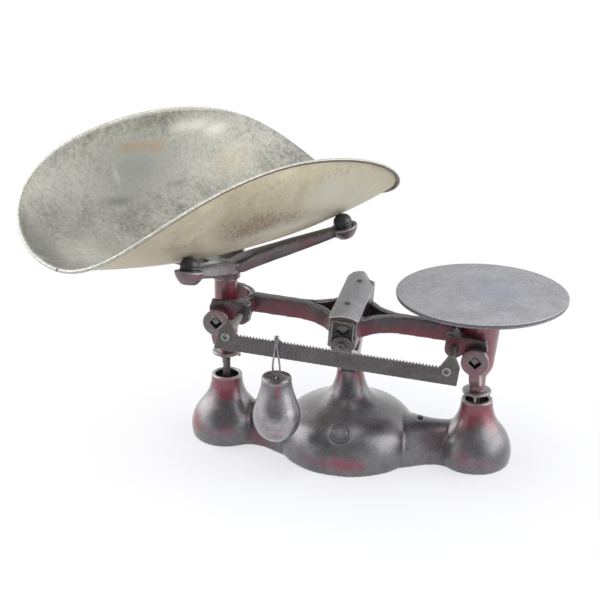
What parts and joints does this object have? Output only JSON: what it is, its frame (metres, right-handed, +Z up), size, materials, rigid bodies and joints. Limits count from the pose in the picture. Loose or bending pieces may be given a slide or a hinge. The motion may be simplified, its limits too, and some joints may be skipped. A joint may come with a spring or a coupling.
{
  "type": "counter balance scale",
  "caption": "Even-balance counter scale: cast-iron base and tilting beam on knife edges, a dished scoop on a padded spider, a round weight plate and a notched bar with a hanging poise.",
  "frame": {"origin": "middle of the base at the ground, below the fulcrum edge", "axes": "+X along the beam towards the weight plate, +Y towards the back, +Z up; the notched bar is at the front, -Y"},
  "size_m": [0.597, 0.4404, 0.3765],
  "materials": {
    "worn_iron": "worn dark casting with remains of crimson paint",
    "plate_iron": "bare mottled casting, rubbed smooth",
    "poise_iron": "dark rough casting",
    "cover_steel": "dull plated sheet",
    "bar_steel": "browned rolled steel",
    "edge_steel": "hardened ground steel",
    "fixing_steel": "dull grey steel",
    "scoop_sheet": "aged tinned sheet, greenish inside and tan outside",
    "bumper_rubber": "soft black rubber"
  },
  "bodies": {
    "base": {"base_casting": "worn_iron", "base_plug": "worn_iron", "saddle_screw": "fixing_steel", "fulcrum_bearings": "edge_steel", "head_washers": "fixing_steel", "head_bolts": "fixing_steel", "check_lever_pin": "fixing_steel"},
    "beam": {"beam_casting": "worn_iron", "beam_cover": "cover_steel", "cover_screws": "fixing_steel", "fulcrum_knife_edge": "edge_steel", "left_knife_edges": "edge_steel", "right_knife_edges": "edge_steel", "hub_end_plates": "edge_steel", "notched_bar": "bar_steel", "bar_standoffs": "bar_steel", "bar_rivets": "fixing_steel"},
    "scoop_side_hanger": {"left_hanger": "worn_iron", "left_bearings": "edge_steel", "left_check_rod": "bar_steel"},
    "plate_side_hanger": {"right_hanger": "worn_iron", "right_bearings": "edge_steel", "right_check_rod": "bar_steel"},
    "lever": {"check_lever": "worn_iron", "check_rod_pins": "fixing_steel"},
    "spider": {"scoop_spider": "worn_iron", "spider_bumpers": "bumper_rubber"},
    "scoop_body": {"scoop": "scoop_sheet"},
    "plate": {"weight_plate": "plate_iron"},
    "poise_link": {"poise_loop": "fixing_steel"},
    "poise": {"poise_body": "poise_iron", "poise_staple": "fixing_steel"}
  },
  "joints": [
    {"name": "beam_tilt", "type": "hinge", "parent": "base", "child": "beam", "pos_m": [0, 0, 0.166], "axis": [0, -1, 0], "range_deg": [0, 7.2]},
    {"name": "left_hanger_level", "type": "hinge", "parent": "beam", "child": "scoop_side_hanger", "pos_m": [-0.15021, 0, 0.16743], "axis": [0, -1, 0], "range_deg": [-7.2, 0]},
    {"name": "right_hanger_level", "type": "hinge", "parent": "beam", "child": "plate_side_hanger", "pos_m": [0.1492, 0, 0.1486], "axis": [0, -1, 0], "range_deg": [-7.2, 0]},
    {"name": "check_lever_tilt", "type": "hinge", "parent": "base", "child": "lever", "pos_m": [0, 0, 0.036], "axis": [0, -1, 0], "range_deg": [0, 7.2]},
    {"name": "spider_turn", "type": "hinge", "parent": "scoop_side_hanger", "child": "spider", "pos_m": [-0.15021, 0, 0.2], "axis": [0, 0, 1], "continuous": true},
    {"name": "scoop_lift", "type": "slide", "parent": "spider", "child": "scoop_body", "axis": [0, 0, 1], "range_m": [0, 0.08]},
    {"name": "plate_lift", "type": "slide", "parent": "plate_side_hanger", "child": "plate", "axis": [0, 0, 1], "range_m": [0, 0.05]},
    {"name": "poise_slide", "type": "slide", "parent": "beam", "child": "poise_link", "axis": [0.998, 0, -0.0628], "range_m": [-0.0432, 0.18]},
    {"name": "poise_swing", "type": "hinge", "parent": "poise_link", "child": "poise", "pos_m": [-0.06576, -0.096, 0.12473], "axis": [0, -1, 0], "range_deg": [-10, 10]}
  ],
  "couplings": [
    {"joint": "left_hanger_level", "follows": "beam_tilt", "ratio": -1},
    {"joint": "right_hanger_level", "follows": "beam_tilt", "ratio": -1},
    {"joint": "check_lever_tilt", "follows": "beam_tilt", "ratio": 1}
  ]
}
